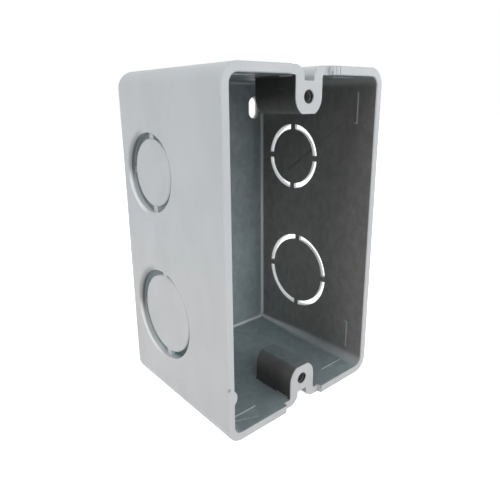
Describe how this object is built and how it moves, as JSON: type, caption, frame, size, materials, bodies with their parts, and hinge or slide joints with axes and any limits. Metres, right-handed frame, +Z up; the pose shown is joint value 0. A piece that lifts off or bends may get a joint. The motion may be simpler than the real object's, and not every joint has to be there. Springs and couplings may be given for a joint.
{
  "type": "electrical box",
  "caption": "Rectangular grey plastic wall box for one switch or outlet, open at the front, with screw bosses and round knockouts in its side walls.",
  "frame": {"origin": "under the middle of the box, in the plane of the end that it stands on", "axes": "+Z up the box's length, +Y from the open front to the back wall, +X to the right as seen from the front"},
  "size_m": [0.06, 0.052, 0.099],
  "materials": {
    "grey_pvc": "light grey rigid plastic, satin outside, with cloudy flow streaks and fine scratches inside"
  },
  "bodies": {
    "root": {"box_body": "grey_pvc"}
  },
  "joints": []
}
